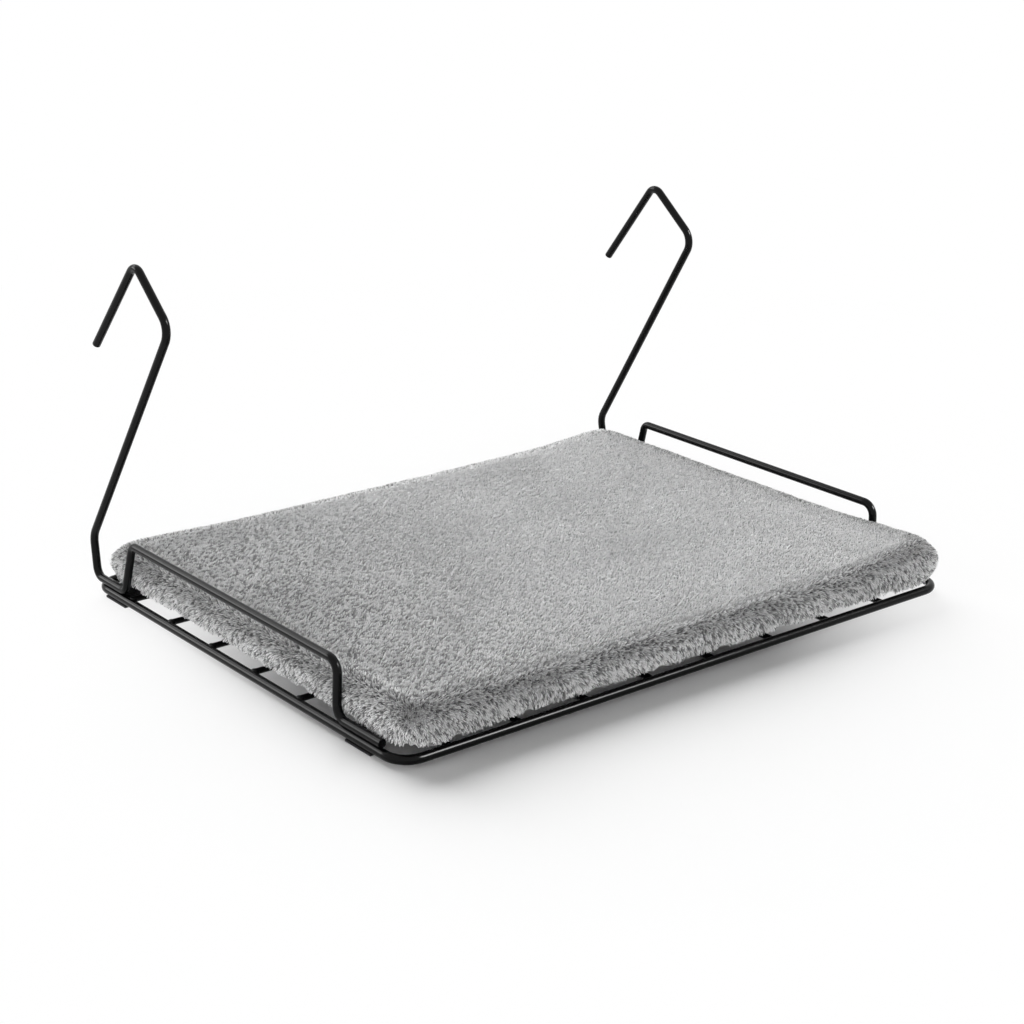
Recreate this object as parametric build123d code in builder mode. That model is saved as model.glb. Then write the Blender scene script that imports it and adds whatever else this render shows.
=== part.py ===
from build123d import *
from math import radians, sin, cos, tan
import os

# Radiator cat bed: a rod frame with a wire grid, two bent side wires that end in hooks for the top
# of a radiator, and a plush cushion that lies on the grid between the side wires.
# Lengths in millimetres, angles in degrees. X runs along the long side, +Y towards the radiator,
# +Z up. The origin is on the ground below the middle of the frame, where the bed stands.

# Frame rail, a closed loop of round rod, measured on its centre line
frame_width = 450.0
frame_depth = 346.5
rail_diameter = 6.0
rail_corner_radius = 15.0

# Grid wires inside the rail, in two layers: cross wires run along X and lie on the depth wires
grid_wire_diameter = 4.0
cross_wire_pitch = 49.5
cross_wire_shift = 5.0
depth_wire_pitch = 51.5
depth_wire_shift = -6.0
layer_gap = 0.1
wire_end_reach = 2.2

# Side wires, each one rod bent into foot, guard, foot, arm and hook
side_wire_diameter = 5.5
side_wire_lean = 2.06
foot_gap = 0.3
front_leg_setback = 62.5
rear_leg_setback = 38.5
arm_setback = 1.2
front_foot_length = 44.8
guard_height = 34.6
guard_rear_rake = 9.7
arm_rise = 27.3
arm_kick = 4.9
arm_length = 191.5
arm_lean = 32.5
hook_top_length = 53.8
hook_top_slope = 39.3
hook_tip_length = 81.0
hook_tip_slope = 50.5
front_bend_radius = 8.5
rear_bend_radius = 6.0
heel_bend_radius = 8.0
arm_bend_radius = 14.0
hook_bend_radius = 12.0
hook_apex_radius = 8.0

# Clamps that hold the side wires' feet to the rail: a bent strip round the rail, a tab on the foot
clamp_thickness = 1.5
clamp_length = 25.0
clamp_lap = 2.0
clamp_clearance = 0.2
clamp_bend_radius = 0.6
clamp_edge_margin = 4.5
front_clamp_gap = 0.75
rear_clamp_gap = 2.5
tab_length = 14.0
tab_thickness = 1.5
tab_drop = 1.6
tab_corner_radius = 3.0

# Screws and nuts of the clamps, M4 with a low head
screw_diameter = 4.0
screw_hole_diameter = 4.3
thread_clearance = 0.05
screw_head_diameter = 7.0
screw_head_height = 1.5
screw_length = 8.0
screw_recess_width = 0.9
screw_recess_length = 3.6
screw_recess_depth = 0.8
nut_across_flats = 7.0
nut_height = 3.2
nut_gap = 0.1

# Cushion: fleece cover, base cloth and foam core
cushion_thickness = 25.0
cushion_crown = 1.5
cushion_rest_gap = 0.3
cushion_side_gap = 1.25
cushion_flare = 2.5
cushion_waist = 1.2
cushion_front_overhang = 2.75
cushion_rear_gap = 5.25
cushion_corner_radius = 12.0
cushion_face_draw = 1.5
cushion_least_corner_radius = 5.0
cover_thickness = 2.5
base_cloth_thickness = 1.0
seam_width = 1.0
fabric_gap = 0.3

# Sizes that follow from those above
rail_radius = rail_diameter / 2
wire_radius = grid_wire_diameter / 2
rod_radius = side_wire_diameter / 2
half_width = frame_width / 2
half_depth = frame_depth / 2
rail_z = clamp_thickness + clamp_clearance + rail_radius
cross_wire_z = rail_z + wire_radius
depth_wire_z = rail_z - wire_radius - layer_gap
foot_z = rail_z + rail_radius + foot_gap + rod_radius
tab_top_z = foot_z - tab_drop
flange_top_z = tab_top_z - tab_thickness
web_offset = rail_radius + clamp_clearance
nut_side_offset = web_offset + clamp_thickness + clamp_bend_radius + nut_gap
screw_offset = nut_side_offset + nut_across_flats / 2
flange_edge_offset = screw_offset + clamp_edge_margin
cross_wire_count = round(frame_depth / cross_wire_pitch) - 1
depth_wire_count = round(frame_width / depth_wire_pitch) - 1
cushion_bottom_z = cross_wire_z + wire_radius + cushion_rest_gap
guard_inner_x = half_width - rod_radius - guard_height * tan(radians(side_wire_lean))
cushion_rear_half_width = guard_inner_x - cushion_side_gap
cushion_front_half_width = cushion_rear_half_width + cushion_flare
cushion_waist_half_width = cushion_rear_half_width - cushion_waist
cushion_front_y = -half_depth - cushion_front_overhang
cushion_rear_y = half_depth - cushion_rear_gap

# Heights and insets of the cushion's outline from its underside to the edge of its flat top.
# Heights are shares of the thickness, insets are in millimetres, and the crown's rise comes last.
side_profile = [
    (0.00, 14.0),
    (0.08, 8.2),
    (0.19, 4.0),
    (0.33, 1.3),
    (0.50, 0.0),
    (0.68, 0.9),
    (0.84, 4.0),
    (0.95, 9.0),
    (1.00, 16.0),
]
crown_profile = [(0.55, 50.0), (1.00, 110.0)]

os.makedirs("parts", exist_ok=True)


def save(piece, name):
    """Label a finished piece and write it as one file."""
    piece.part.label = name
    export_step(piece.part, f"parts/{name}.step")


def pattern_places(count, pitch, shift):
    """Return the places of evenly spaced wires, from the lowest coordinate to the highest."""
    return [shift + (index - (count - 1) / 2) * pitch for index in range(count)]


cross_wire_places = pattern_places(cross_wire_count, cross_wire_pitch, cross_wire_shift)
depth_wire_places = pattern_places(depth_wire_count, depth_wire_pitch, depth_wire_shift)


def rail_loop(rod_size):
    """Sweep a round rod along the rail's centre line."""
    with BuildPart() as loop:
        with BuildLine(Plane.XY.offset(rail_z)) as centre_line:
            FilletPolyline(
                (-half_width, -half_depth),
                (half_width, -half_depth),
                (half_width, half_depth),
                (-half_width, half_depth),
                radius=rail_corner_radius,
                close=True,
            )
        with BuildSketch(Plane(origin=centre_line.line @ 0, z_dir=centre_line.line % 0)):
            Circle(rod_size / 2)
        sweep()
    return loop


# Frame rail
frame_rail = rail_loop(rail_diameter)
save(frame_rail, "frame_rail")

# Space that the clamps leave round the rail
rail_envelope = rail_loop(rail_diameter + 2 * clamp_clearance)


def cross_wire(place):
    """Make one wire along X, its ends shaped to the rail that they are welded to."""
    reach = half_width - wire_end_reach
    with BuildPart() as wire:
        with BuildSketch(Plane.YZ.offset(-reach)):
            with Locations((place, cross_wire_z)):
                Circle(wire_radius)
        extrude(amount=2 * reach)
        add(frame_rail.part, mode=Mode.SUBTRACT)
    return wire


def depth_wire(place):
    """Make one wire along Y, below the cross wires."""
    reach = half_depth - wire_end_reach
    with BuildPart() as wire:
        with BuildSketch(Plane.XZ.offset(-reach)):
            with Locations((place, depth_wire_z)):
                Circle(wire_radius)
        extrude(amount=2 * reach)
        add(frame_rail.part, mode=Mode.SUBTRACT)
    return wire


# Grid wires, numbered from the front and from the left
for number, place in enumerate(cross_wire_places, start=1):
    save(cross_wire(place), f"cross_wire_{number}")
for number, place in enumerate(depth_wire_places, start=1):
    save(depth_wire(place), f"depth_wire_{number}")


def side_wire(side):
    """Bend one rod from the front foot's end, over the guard, to the rear foot, arm and hook."""
    lean = radians(side_wire_lean)
    wire_plane = Plane(
        origin=(side * half_width, 0, foot_z),
        x_dir=(0, 1, 0),
        z_dir=(cos(lean), 0, side * sin(lean)),
    )
    front_leg = -half_depth + front_leg_setback
    rear_leg = half_depth - rear_leg_setback
    heel = half_depth - arm_setback
    arm_foot = (heel + arm_kick, arm_rise)
    arm_top = (
        arm_foot[0] - arm_length * sin(radians(arm_lean)),
        arm_foot[1] + arm_length * cos(radians(arm_lean)),
    )
    apex = (
        arm_top[0] + hook_top_length * cos(radians(hook_top_slope)),
        arm_top[1] + hook_top_length * sin(radians(hook_top_slope)),
    )
    tip = (
        apex[0] + hook_tip_length * cos(radians(hook_tip_slope)),
        apex[1] - hook_tip_length * sin(radians(hook_tip_slope)),
    )
    with BuildPart() as wire:
        with BuildLine(wire_plane) as centre_line:
            FilletPolyline(
                (front_leg - front_foot_length, 0),
                (front_leg, 0),
                (front_leg, guard_height),
                (rear_leg - guard_rear_rake, guard_height),
                (rear_leg, 0),
                (heel, 0),
                arm_foot,
                arm_top,
                apex,
                tip,
                radius=[
                    front_bend_radius,
                    front_bend_radius,
                    rear_bend_radius,
                    rear_bend_radius,
                    heel_bend_radius,
                    arm_bend_radius,
                    hook_bend_radius,
                    hook_apex_radius,
                ],
            )
        with BuildSketch(Plane(origin=centre_line.line @ 0, z_dir=centre_line.line % 0)):
            Circle(rod_radius)
        sweep()
    return wire


def clamp(side, place):
    """Bend a strip under the rail, up its inner side and inboard to a flange below the foot's tab."""
    web_x = half_width - web_offset
    inner_x = web_x - clamp_thickness
    edge_x = half_width - flange_edge_offset
    lap_x = half_width + clamp_lap
    flange_under_z = flange_top_z - clamp_thickness
    with BuildPart() as strip:
        with BuildSketch(Plane.XZ.offset(-place - clamp_length / 2)) as section:
            with BuildLine():
                Polyline(
                    (side * lap_x, 0),
                    (side * inner_x, 0),
                    (side * inner_x, flange_under_z),
                    (side * edge_x, flange_under_z),
                    (side * edge_x, flange_top_z),
                    (side * web_x, flange_top_z),
                    (side * web_x, clamp_thickness),
                    (side * lap_x, clamp_thickness),
                    close=True,
                )
            make_face()
            web_sides = section.edges().filter_by(Axis.Y).sort_by(SortBy.LENGTH)[-2:]
            bends = web_sides.vertices().sort_by(Axis.Y)
            fillet(bends[1:3], clamp_bend_radius)
            fillet([bends[0], bends[3]], clamp_bend_radius + clamp_thickness)
        extrude(amount=clamp_length)
        with Locations((side * (half_width - screw_offset), place, flange_under_z)):
            Hole(screw_hole_diameter / 2)
        add(rail_envelope.part, mode=Mode.SUBTRACT)
    return strip


def foot_tab(side, place, wire):
    """Make the drilled tab that is welded to the inboard side of a foot."""
    length_x = flange_edge_offset - clamp_bend_radius
    with BuildPart() as tab:
        with BuildSketch(Plane.XY.offset(flange_top_z)) as outline:
            with Locations((side * (half_width - length_x / 2), place)):
                Rectangle(length_x, tab_length)
            inboard = outline.vertices().sort_by(Axis.X, reverse=side < 0)[:2]
            fillet(inboard, tab_corner_radius)
        extrude(amount=tab_thickness)
        with Locations((side * (half_width - screw_offset), place, tab_top_z)):
            Hole(screw_hole_diameter / 2)
        add(wire.part, mode=Mode.SUBTRACT)
        add(rail_envelope.part, mode=Mode.SUBTRACT)
        split(bisect_by=Plane.YZ.offset(side * (half_width - rod_radius / 2)),
              keep=Keep.BOTTOM if side > 0 else Keep.TOP)
    return tab


def clamp_screw(side, place):
    """Make a low-headed screw that drops through tab and clamp, with a cross recess."""
    screw_plane = Plane(origin=(side * (half_width - screw_offset), place, tab_top_z))
    with BuildPart() as screw:
        with BuildSketch(screw_plane):
            Circle(screw_head_diameter / 2)
        extrude(amount=screw_head_height)
        fillet(screw.edges().sort_by(Axis.Z)[-1], screw_head_height / 2)
        with BuildSketch(screw_plane):
            Circle(screw_diameter / 2 - thread_clearance)
        extrude(amount=-screw_length)
        with BuildSketch(screw_plane.offset(screw_head_height)):
            Rectangle(screw_recess_length, screw_recess_width)
            Rectangle(screw_recess_width, screw_recess_length)
        extrude(amount=-screw_recess_depth, mode=Mode.SUBTRACT)
    return screw


def clamp_nut(side, place):
    """Make a hexagon nut under the clamp's flange, one flat towards the web."""
    nut_plane = Plane(
        origin=(side * (half_width - screw_offset), place, flange_top_z - clamp_thickness)
    )
    with BuildPart() as nut:
        with BuildSketch(nut_plane):
            RegularPolygon(nut_across_flats / 2, 6, major_radius=False, rotation=30)
            Circle(screw_diameter / 2, mode=Mode.SUBTRACT)
        extrude(amount=-nut_height)
    return nut


# Side wires with the clamps that hold them to the rail
front_clamp_place = cross_wire_places[0] - wire_radius - front_clamp_gap - clamp_length / 2
rear_clamp_place = cross_wire_places[-1] + wire_radius + rear_clamp_gap + clamp_length / 2
for side, side_name in ((-1, "left"), (1, "right")):
    wire = side_wire(side)
    save(wire, f"{side_name}_side_wire")
    for place, end_name in ((front_clamp_place, "front"), (rear_clamp_place, "rear")):
        corner = f"{end_name}_{side_name}"
        save(clamp(side, place), f"{corner}_clamp")
        save(foot_tab(side, place, wire), f"{corner}_foot_tab")
        save(clamp_screw(side, place), f"{corner}_screw")
        save(clamp_nut(side, place), f"{corner}_nut")


def cushion_outline(inset):
    """Draw the cushion's plan, its corners standing out past sides that are drawn in."""
    radius = max(cushion_corner_radius - inset, cushion_least_corner_radius)
    front = cushion_front_y + inset
    rear = cushion_rear_y - inset
    front_x = cushion_front_half_width - inset
    rear_x = cushion_rear_half_width - inset
    waist_x = cushion_waist_half_width - inset
    swing = radius * (1 - cos(radians(45)))
    ThreePointArc(
        (-front_x + radius, front), (0, front + cushion_face_draw), (front_x - radius, front)
    )
    ThreePointArc(
        (front_x - radius, front), (front_x - swing, front + swing), (front_x, front + radius)
    )
    ThreePointArc((front_x, front + radius), (waist_x, 0), (rear_x, rear - radius))
    ThreePointArc(
        (rear_x, rear - radius), (rear_x - swing, rear - swing), (rear_x - radius, rear)
    )
    ThreePointArc(
        (rear_x - radius, rear), (0, rear - cushion_face_draw), (-rear_x + radius, rear)
    )
    ThreePointArc(
        (-rear_x + radius, rear), (-rear_x + swing, rear - swing), (-rear_x, rear - radius)
    )
    ThreePointArc((-rear_x, rear - radius), (-waist_x, 0), (-front_x, front + radius))
    ThreePointArc(
        (-front_x, front + radius), (-front_x + swing, front + swing), (-front_x + radius, front)
    )


def cushion_form(shell, bottom_shell):
    """Loft the cushion's form, drawn in by a shell's thickness, up its sides and over its crown."""
    bottom = cushion_bottom_z + bottom_shell
    height = cushion_thickness - shell - bottom_shell
    with BuildPart() as form:
        for share, inset in side_profile:
            with BuildSketch(Plane.XY.offset(bottom + share * height)):
                with BuildLine():
                    cushion_outline(inset + shell)
                make_face()
        for share, inset in crown_profile:
            with BuildSketch(Plane.XY.offset(bottom + height + share * cushion_crown)):
                with BuildLine():
                    cushion_outline(inset + shell)
                make_face()
        loft(ruled=True)
    return form


# Base cloth, a flat panel sewn in under the cushion
base_inset = side_profile[0][1] + seam_width
with BuildPart() as base_cloth:
    with BuildSketch(Plane.XY.offset(cushion_bottom_z)):
        with BuildLine():
            cushion_outline(base_inset)
        make_face()
    extrude(amount=base_cloth_thickness)
save(base_cloth, "cushion_base_cloth")

# Foam core
foam_core = cushion_form(cover_thickness + fabric_gap, base_cloth_thickness + fabric_gap)
save(foam_core, "cushion_foam_core")

# Fleece cover over the top and sides, open below for the base cloth
cover_outside = cushion_form(0, 0)
cover_inside = cushion_form(cover_thickness, base_cloth_thickness)
with BuildPart() as fleece_cover:
    add(cover_outside.part)
    add(cover_inside.part, mode=Mode.SUBTRACT)
    add(base_cloth.part, mode=Mode.SUBTRACT)
save(fleece_cover, "cushion_fleece_cover")
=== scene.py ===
# Looks of a radiator cat bed: black rod frame, wire grid and a loose plush cushion
from math import cos, pi, radians, sin

import bpy
import numpy as np
from mathutils import Matrix, Vector, noise


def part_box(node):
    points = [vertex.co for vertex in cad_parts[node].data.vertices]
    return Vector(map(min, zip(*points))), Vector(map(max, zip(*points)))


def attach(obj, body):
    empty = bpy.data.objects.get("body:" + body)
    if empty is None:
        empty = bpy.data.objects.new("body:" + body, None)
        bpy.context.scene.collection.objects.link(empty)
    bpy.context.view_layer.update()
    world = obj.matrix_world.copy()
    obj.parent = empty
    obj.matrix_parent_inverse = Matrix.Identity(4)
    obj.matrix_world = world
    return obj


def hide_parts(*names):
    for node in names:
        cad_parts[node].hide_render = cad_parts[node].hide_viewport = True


bl_info = {
    "name": "Radiator cat bed",
    "version": (1, 0, 0),
    "blender": (4, 5, 0),
    "location": "3D View > Sidebar > Cat bed",
    "description": "Builds the looks of a radiator cat bed round its packed frame",
    "category": "Object",
}

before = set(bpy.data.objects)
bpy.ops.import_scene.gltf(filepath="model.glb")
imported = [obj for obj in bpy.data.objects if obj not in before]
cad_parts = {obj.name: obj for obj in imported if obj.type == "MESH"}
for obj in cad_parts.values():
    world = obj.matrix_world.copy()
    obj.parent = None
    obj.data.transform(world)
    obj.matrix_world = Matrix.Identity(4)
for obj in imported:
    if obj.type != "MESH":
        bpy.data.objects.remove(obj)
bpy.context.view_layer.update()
MM = 0.001

SIDES = ("left", "right")
ENDS = ("front", "rear")
CORNERS = [f"{end}_{side}" for side in SIDES for end in ENDS]
CROSS_WIRES = [f"cross_wire_{number}" for number in range(1, 7)]
DEPTH_WIRES = [f"depth_wire_{number}" for number in range(1, 9)]
ROUND_RODS = ["frame_rail", "left_side_wire", "right_side_wire"]


def length_property(name, millimetres, description):
    return bpy.props.FloatProperty(
        name=name, description=description, default=millimetres * MM, unit="LENGTH")


def colour_property(name, colour, description):
    return bpy.props.FloatVectorProperty(
        name=name, description=description, default=colour, size=3, subtype="COLOR", min=0, max=1)


class CatBedSizes(bpy.types.PropertyGroup):
    """Sizes that a user would change, in metres. Their defaults are given in millimetres."""

    cloth_voxel: length_property(
        "Cover mesh size", 5, "Voxel that the cushion is remeshed at before it is simulated")
    swell_cap: length_property("Swell limit", 2.6, "How far the pressure may move a point of the cushion")
    corner_rise: length_property("Corner rise", 2.0, "How much higher the cushion stands at its corners")
    edge_roll: length_property(
        "Edge roll", 0.5, "How much higher the roll along the edge stands than the middle")
    right_roll: length_property(
        "Right roll", 4.8, "How much more the roll rises where the right guard presses on it")
    top_spacing: length_property(
        "Top pile spacing", 0.88, "Least distance between two tufts on the lying surface")
    top_length: length_property("Top tuft length", 2.8, "Length of a tuft on the lying surface")
    top_width: length_property("Top tuft width", 1.1, "Width of a tuft on the lying surface at its root")
    side_spacing: length_property(
        "Side pile spacing", 0.7, "Least distance between two tufts on the cushion's sides")
    side_length: length_property("Side tuft length", 2.7, "Length of a tuft on the cushion's sides")
    side_width: length_property(
        "Side tuft width", 0.78, "Width of a tuft on the cushion's sides at its root")
    lock_pitch: length_property(
        "Lock pitch", 2.7, "Distance between two dark pits among the locks of the pile")
    stitch_pitch: length_property("Stitch pitch", 4, "Distance between two stitches of the base seam")
    weld_radius: length_property(
        "Weld bead radius", 2.7, "Radius of the bead where a grid wire meets the rail")


class CatBedColours(bpy.types.PropertyGroup):
    """Colours that a user would change, in linear light."""

    powder_coat: colour_property("Powder coat", (0.0025, 0.0025, 0.0026), "Colour of the rods and the grid")
    strip_coat: colour_property(
        "Clamp coat", (0.016, 0.016, 0.017), "Colour of the clamp strips and the tabs")
    zinc: colour_property("Black zinc", (0.05, 0.05, 0.053), "Colour of the screws and nuts")
    fleece_tip: colour_property("Fleece tips", (0.80, 0.80, 0.80), "Colour of the ends of the pile")
    # The root colour is painted shade: the pile darkens from its tip to its root as if shaded, and the
    # backing takes this colour a little lighter
    fleece_root_painted_shade: colour_property("Fleece roots", (0.40, 0.40, 0.403), "Colour of the pile at its root")
    base_cloth: colour_property(
        "Base cloth", (0.2, 0.2, 0.205), "Colour of the woven cloth below the cushion")
    foam: colour_property("Foam", (0.8, 0.78, 0.7), "Colour of the foam core")
    floor: colour_property("Floor", (0.99, 0.99, 0.99), "Colour of the plain floor")


# Shared helpers

def sizes():
    return bpy.context.scene.cat_bed_sizes


def colours():
    return bpy.context.scene.cat_bed_colours


def rgba(colour, share=1.0):
    return (*(share * part for part in colour), 1.0)


def deselect_all():
    if bpy.context.object is not None and bpy.context.object.mode != "OBJECT":
        stop_editing()
    bpy.ops.object.select_all(action="DESELECT")


def activate(piece):
    deselect_all()
    piece.select_set(True)
    bpy.context.view_layer.objects.active = piece


def edit_all():
    """Opens the active piece in edit mode with all of it selected."""
    bpy.ops.object.mode_set(mode="EDIT")
    bpy.ops.mesh.select_all(action="SELECT")


def stop_editing():
    bpy.ops.object.mode_set(mode="OBJECT")


def apply_modifiers(piece):
    activate(piece)
    for modifier in list(piece.modifiers):
        bpy.ops.object.modifier_apply(modifier=modifier.name)


def settle_place(piece):
    """Moves the object's place into its mesh, so that the object sits at the origin."""
    activate(piece)
    bpy.ops.object.transform_apply(location=True, rotation=True, scale=True)


def points_of(mesh):
    found = np.empty(len(mesh.vertices) * 3)
    mesh.vertices.foreach_get("co", found)
    return found.reshape(-1, 3)


def normals_of(mesh):
    found = np.empty(len(mesh.vertices) * 3)
    mesh.vertices.foreach_get("normal", found)
    return found.reshape(-1, 3)


def set_points(mesh, points):
    mesh.vertices.foreach_set("co", points.ravel())
    mesh.update()


def unit_vectors(vectors):
    lengths = np.linalg.norm(vectors, axis=1, keepdims=True)
    return vectors / np.maximum(lengths, 1e-9)


def smooth_step(value, low, high):
    share = np.clip((value - low) / (high - low), 0, 1)
    return share * share * (3 - 2 * share)


def soft_noise(points, size, seed):
    """Smooth noise from about -1 to 1 at each point, with bumps of that size and a pattern of its own."""
    moved = points / size + seed
    return np.array([noise.noise(Vector(point)) for point in moved])


def copy_of_node(name, node_name):
    """A merged copy of a CAD node's mesh as an object of its own."""
    piece = bpy.data.objects.new(name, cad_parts[node_name].data.copy())
    piece.data.materials.clear()
    bpy.context.scene.collection.objects.link(piece)
    activate(piece)
    edit_all()
    bpy.ops.mesh.remove_doubles(threshold=0.00001)
    bpy.ops.mesh.normals_make_consistent(inside=False)
    stop_editing()
    return piece


def joined_copies(name, model, places):
    """Copies one modelled piece to each place, joins the copies and removes the model."""
    copies = []
    for place in places:
        copy = bpy.data.objects.new(name, model.data.copy())
        copy.data.transform(place)
        bpy.context.scene.collection.objects.link(copy)
        copies.append(copy)
    bpy.data.objects.remove(model)
    deselect_all()
    for copy in copies:
        copy.select_set(True)
    bpy.context.view_layer.objects.active = copies[0]
    bpy.ops.object.join()
    copies[0].name = name
    return copies[0]


# Materials

def node(tree, kind, inputs=None, **options):
    """Adds a node, sets its options, and sets or links the inputs that are given."""
    made = tree.nodes.new(kind)
    for option, value in options.items():
        setattr(made, option, value)
    for key, value in (inputs or {}).items():
        if isinstance(value, bpy.types.NodeSocket):
            tree.links.new(value, made.inputs[key])
        else:
            made.inputs[key].default_value = value
    return made


def new_material(name):
    """A material with one Principled shader, returned with its node tree and that shader."""
    material = bpy.data.materials.new(name)
    material.use_nodes = True
    return material, material.node_tree, material.node_tree.nodes["Principled BSDF"]


def object_place(tree, scale=(1, 1, 1)):
    """The piece's own coordinates, scaled by a Mapping node."""
    place = node(tree, "ShaderNodeTexCoord")
    mapping = node(tree, "ShaderNodeMapping", {"Vector": place.outputs["Object"], "Scale": scale})
    return mapping.outputs["Vector"]


def noise_share(tree, place, scale, detail, low, high):
    """Noise on the piece's coordinates, turned into a number from low to high."""
    pattern = node(tree, "ShaderNodeTexNoise", {"Vector": place, "Scale": scale, "Detail": detail})
    spread = node(tree, "ShaderNodeMapRange", {
        "Value": pattern.outputs["Fac"], "From Min": 0.3, "From Max": 0.7, "To Min": low, "To Max": high})
    return spread.outputs["Result"]


def shaded(tree, colour, share):
    """A colour that a pattern makes lighter or darker."""
    mixed = node(tree, "ShaderNodeMix", data_type="RGBA", blend_type="MULTIPLY")
    mixed.inputs[0].default_value = 1.0
    if isinstance(colour, bpy.types.NodeSocket):
        tree.links.new(colour, mixed.inputs[6])
    else:
        mixed.inputs[6].default_value = colour
    tree.links.new(share, mixed.inputs[7])
    return mixed.outputs[2]


def coated_metal(name, colour, roughness, peel_size, peel_height):
    """Powder-coated steel: an even dark skin with fine orange peel and softly uneven gloss."""
    material, tree, shader = new_material(name)
    place = object_place(tree)
    tint = noise_share(tree, place, 60, 3, 0.85, 1.15)
    gloss = noise_share(tree, place, 90, 2, roughness - 0.02, roughness + 0.03)
    peel = node(tree, "ShaderNodeTexNoise", {"Vector": place, "Scale": 1 / peel_size, "Detail": 2})
    bump = node(tree, "ShaderNodeBump", {
        "Height": peel.outputs["Fac"], "Strength": 0.15, "Distance": peel_height})
    tree.links.new(shaded(tree, rgba(colour), tint), shader.inputs["Base Color"])
    tree.links.new(gloss, shader.inputs["Roughness"])
    tree.links.new(bump.outputs["Normal"], shader.inputs["Normal"])
    shader.inputs["Specular IOR Level"].default_value = 0.13
    return material


def black_zinc():
    """Black zinc plate: dark metal with faint streaks from turning and tumbling."""
    material, tree, shader = new_material("black_zinc_plate")
    place = object_place(tree)
    streaks = object_place(tree, (1, 1, 9))
    tint = noise_share(tree, place, 320, 4, 0.6, 1.5)
    gloss = noise_share(tree, streaks, 900, 2, 0.26, 0.44)
    tree.links.new(shaded(tree, rgba(colours().zinc), tint), shader.inputs["Base Color"])
    tree.links.new(gloss, shader.inputs["Roughness"])
    shader.inputs["Metallic"].default_value = 0.85
    return material


def fleece_pile():
    """The pile: light at the tip and darker towards the root with painted shade, and each tuft darkened or
    lightened by its own random tone and by painted light and shade.
    """
    material, tree, shader = new_material("grey_fleece_pile")
    along = node(tree, "ShaderNodeAttribute", attribute_name="along")
    shade = node(tree, "ShaderNodeAttribute", attribute_name="shade")
    # Painted shade: the colour runs from the shaded root to the light tip
    strand = node(tree, "ShaderNodeMix", data_type="RGBA")
    tree.links.new(along.outputs["Fac"], strand.inputs[0])
    strand.inputs[6].default_value = rgba(colours().fleece_root_painted_shade)
    strand.inputs[7].default_value = rgba(colours().fleece_tip)
    tree.links.new(shaded(tree, strand.outputs[2], shade.outputs["Fac"]), shader.inputs["Base Color"])
    shader.inputs["Roughness"].default_value = 0.85
    shader.inputs["Specular IOR Level"].default_value = 0.2
    shader.inputs["Sheen Weight"].default_value = 0.15
    shader.inputs["Sheen Roughness"].default_value = 0.6
    return material


def fleece_backing():
    """The knitted backing that the pile stands on, seen only between the tufts."""
    material, tree, shader = new_material("grey_fleece_backing")
    place = object_place(tree)
    loops = node(tree, "ShaderNodeTexVoronoi", {"Vector": place, "Scale": 700})
    tint = noise_share(tree, place, 500, 3, 0.7, 1.3)
    bump = node(tree, "ShaderNodeBump", {
        "Height": loops.outputs["Distance"], "Strength": 0.6, "Distance": 0.4 * MM})
    tree.links.new(shaded(tree, rgba(colours().fleece_root_painted_shade, 1.3), tint), shader.inputs["Base Color"])
    tree.links.new(bump.outputs["Normal"], shader.inputs["Normal"])
    shader.inputs["Roughness"].default_value = 0.95
    shader.inputs["Sheen Weight"].default_value = 0.2
    return material


def woven_base():
    """Plain woven polyester, with warp and weft from two crossed waves."""
    material, tree, shader = new_material("grey_woven_base")
    place = object_place(tree)
    threads = 900.0
    warp = node(tree, "ShaderNodeTexWave", {"Vector": place, "Scale": threads, "Distortion": 0.6},
                bands_direction="X")
    weft = node(tree, "ShaderNodeTexWave", {"Vector": place, "Scale": threads, "Distortion": 0.6},
                bands_direction="Y")
    weave = node(tree, "ShaderNodeMath", {0: warp.outputs["Fac"], 1: weft.outputs["Fac"]},
                 operation="MAXIMUM")
    tint = noise_share(tree, place, 40, 3, 0.85, 1.12)
    thread_tint = node(tree, "ShaderNodeMapRange", {
        "Value": weave.outputs["Value"], "To Min": 0.6, "To Max": 1.1})
    colour = shaded(tree, rgba(colours().base_cloth), tint)
    tree.links.new(shaded(tree, colour, thread_tint.outputs["Result"]), shader.inputs["Base Color"])
    bump = node(tree, "ShaderNodeBump", {
        "Height": weave.outputs["Value"], "Strength": 0.5, "Distance": 0.15 * MM})
    tree.links.new(bump.outputs["Normal"], shader.inputs["Normal"])
    shader.inputs["Roughness"].default_value = 0.82
    shader.inputs["Sheen Weight"].default_value = 0.15
    return material


def thread_finish():
    """Twisted sewing thread."""
    material, tree, shader = new_material("grey_sewing_thread")
    place = object_place(tree)
    tint = noise_share(tree, place, 2500, 2, 0.75, 1.2)
    tree.links.new(shaded(tree, rgba(colours().base_cloth, 1.5), tint), shader.inputs["Base Color"])
    shader.inputs["Roughness"].default_value = 0.6
    return material


def open_cell_foam():
    """Cut foam with small open pores."""
    material, tree, shader = new_material("white_open_cell_foam")
    place = object_place(tree)
    cells = node(tree, "ShaderNodeTexVoronoi", {"Vector": place, "Scale": 900})
    pores = node(tree, "ShaderNodeMapRange", {
        "Value": cells.outputs["Distance"], "From Max": 0.6, "To Min": 0.6, "To Max": 1.05})
    bump = node(tree, "ShaderNodeBump", {
        "Height": cells.outputs["Distance"], "Strength": 0.8, "Distance": 0.5 * MM})
    tree.links.new(shaded(tree, rgba(colours().foam), pores.outputs["Result"]), shader.inputs["Base Color"])
    tree.links.new(bump.outputs["Normal"], shader.inputs["Normal"])
    shader.inputs["Roughness"].default_value = 0.95
    return material


def finish_nodes(names, material):
    """Gives each CAD node its finish. Their meshes and places stay as they are."""
    for name in names:
        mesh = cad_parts[name].data
        mesh.materials.clear()
        mesh.materials.append(material)


# The stage

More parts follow.
